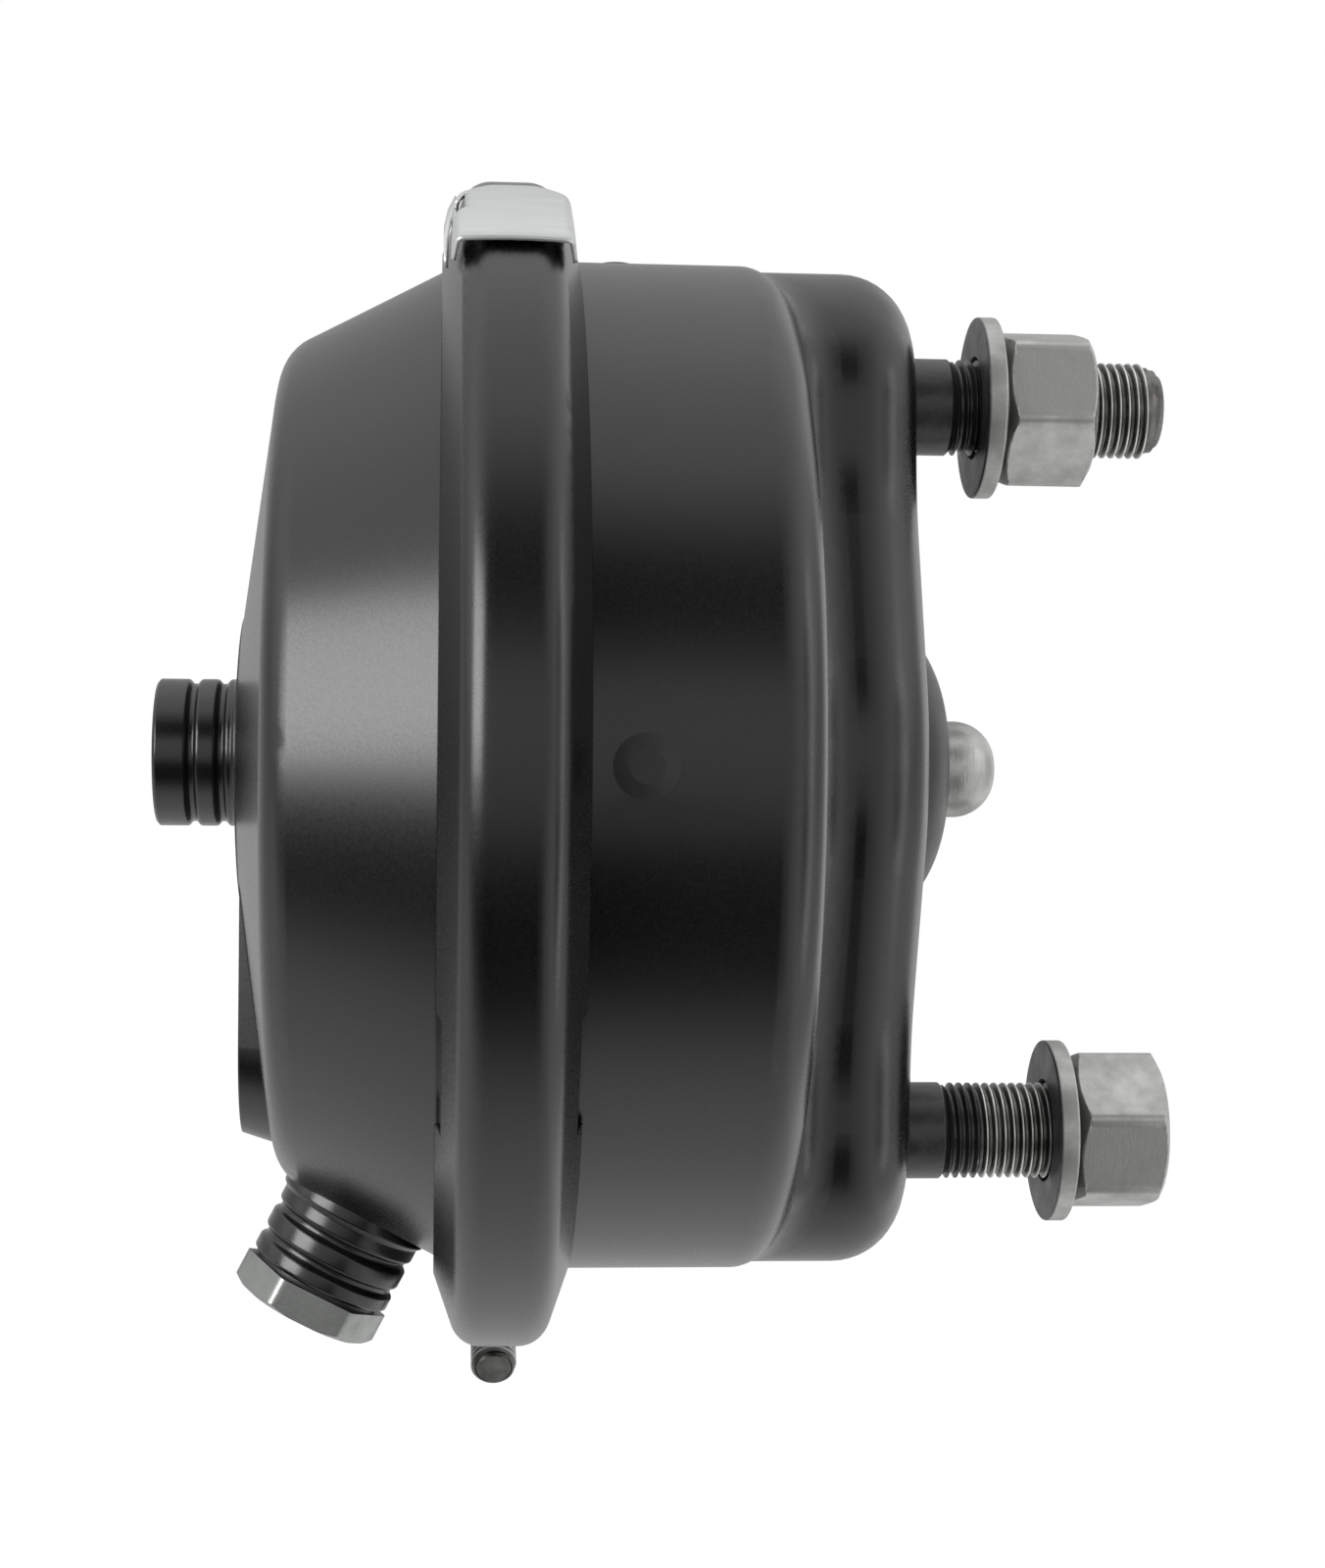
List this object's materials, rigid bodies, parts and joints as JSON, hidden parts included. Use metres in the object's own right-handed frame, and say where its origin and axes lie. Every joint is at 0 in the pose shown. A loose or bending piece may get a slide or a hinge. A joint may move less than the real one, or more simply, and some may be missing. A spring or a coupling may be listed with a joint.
{
  "type": "air brake chamber",
  "caption": "Diaphragm brake chamber for a disc brake caliper: clamped sheet shells, two mounting studs with nuts, a sprung push rod with a sealed rounded end, and two air port bosses",
  "frame": {"origin": "centre of the mounting face, midway between the two studs", "axes": "+X along the push rod, out of the mounting face towards the caliper; +Z towards the upper stud; +Y to the side where the clamp bolt's head lies"},
  "size_m": [0.1659, 0.188, 0.2014],
  "materials": {
    "shell_paint": "satin black dip coat with a fine grain",
    "boss_paint": "gloss black paint over turned steel",
    "zinc_steel": "grey zinc plating, turned and pressed",
    "stud_steel": "grey zinc, black paint near the mounting face",
    "dark_zinc": "dark zinc plating",
    "label_metal": "satin silver sheet, left bare",
    "rod_steel": "turned bright steel",
    "inner_steel": "pressed steel",
    "spring_steel": "black coated spring wire",
    "diaphragm_rubber": "fabric backed rubber",
    "seal_rubber": "moulded black rubber",
    "plug_rubber": "moulded black rubber"
  },
  "bodies": {
    "chamber": {"pressure_cap": "shell_paint", "port_boss_centre": "boss_paint", "port_boss_inclined": "boss_paint", "port_plug": "zinc_steel", "plug_seal": "seal_rubber", "clamp_band": "shell_paint", "clamp_bolt": "dark_zinc", "clamp_nut": "dark_zinc", "label_clip": "label_metal", "housing": "shell_paint", "stud_plate": "inner_steel", "drain_plug_top": "plug_rubber", "drain_plug_near": "plug_rubber", "drain_plug_far": "plug_rubber", "stud_upper": "stud_steel", "stud_lower": "stud_steel", "diaphragm": "diaphragm_rubber", "return_spring": "spring_steel", "bellows": "seal_rubber", "rod_seal": "seal_rubber", "retainer_ring": "inner_steel"},
    "actuator": {"push_plate": "inner_steel", "push_rod": "rod_steel"},
    "upper_washer": {"washer_upper": "zinc_steel"},
    "upper_nut": {"nut_upper": "zinc_steel"},
    "lower_washer": {"washer_lower": "zinc_steel"},
    "lower_nut": {"nut_lower": "zinc_steel"}
  },
  "joints": [
    {"name": "push_rod_stroke", "type": "slide", "parent": "chamber", "child": "actuator", "axis": [1, 0, 0], "range_m": [0, 0.057], "stiffness_N_per_m": 2000, "springref_m": -0.04, "deforming": ["diaphragm", "return_spring", "bellows"]},
    {"name": "upper_nut_travel", "type": "slide", "parent": "chamber", "child": "upper_washer", "axis": [1, 0, 0], "range_m": [-0.0087, 0.01]},
    {"name": "upper_nut_turn", "type": "hinge", "parent": "upper_washer", "child": "upper_nut", "pos_m": [0.02, 0, 0.06032], "axis": [1, 0, 0], "range_deg": [-2089, 2401]},
    {"name": "lower_nut_travel", "type": "slide", "parent": "chamber", "child": "lower_washer", "axis": [1, 0, 0], "range_m": [-0.0219, 0]},
    {"name": "lower_nut_turn", "type": "hinge", "parent": "lower_washer", "child": "lower_nut", "pos_m": [0.03, 0, -0.06032], "axis": [1, 0, 0], "range_deg": [-5257, 0]}
  ],
  "couplings": [
    {"joint": "upper_nut_turn", "follows": "upper_nut_travel", "rad_per_m": 4188.8},
    {"joint": "lower_nut_turn", "follows": "lower_nut_travel", "rad_per_m": 4188.8}
  ]
}
